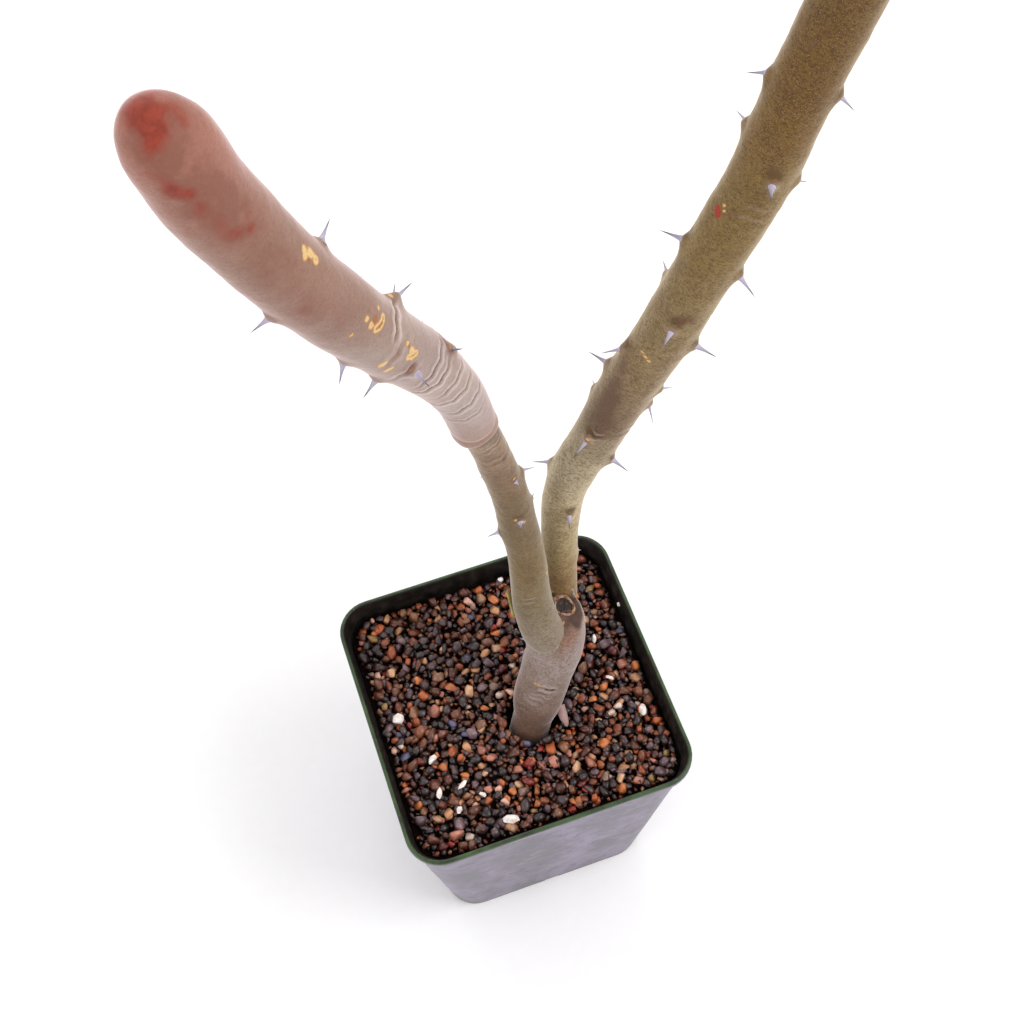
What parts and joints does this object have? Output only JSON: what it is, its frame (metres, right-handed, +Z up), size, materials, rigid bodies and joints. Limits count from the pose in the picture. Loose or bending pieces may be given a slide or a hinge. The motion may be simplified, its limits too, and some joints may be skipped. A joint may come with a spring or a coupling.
{
  "type": "potted alluaudia",
  "caption": "Spiny grey-barked succulent cutting with a forked pair of leafless stems, in a small square tapered nursery pot topped with mixed gravel.",
  "frame": {"origin": "centre of the pot's underside, on the surface the pot stands on", "axes": "+Z up, along the pot's height; +X towards the side the taller stem leans to; the pot's four walls face +X, -X, +Y and -Y"},
  "size_m": [0.1575, 0.0882, 0.3431],
  "materials": {
    "pot": "satin",
    "potting_mix": "matte",
    "gravel": "matte",
    "trunk": "matte",
    "left_stem": "matte",
    "new_growth": "matte",
    "right_stem": "matte"
  },
  "bodies": {
    "root": {"pot": "pot", "potting_mix": "potting_mix", "gravel_top_dressing": "gravel", "trunk": "trunk", "left_stem": "left_stem", "left_stem_new_growth": "new_growth", "right_stem": "right_stem"}
  },
  "joints": []
}
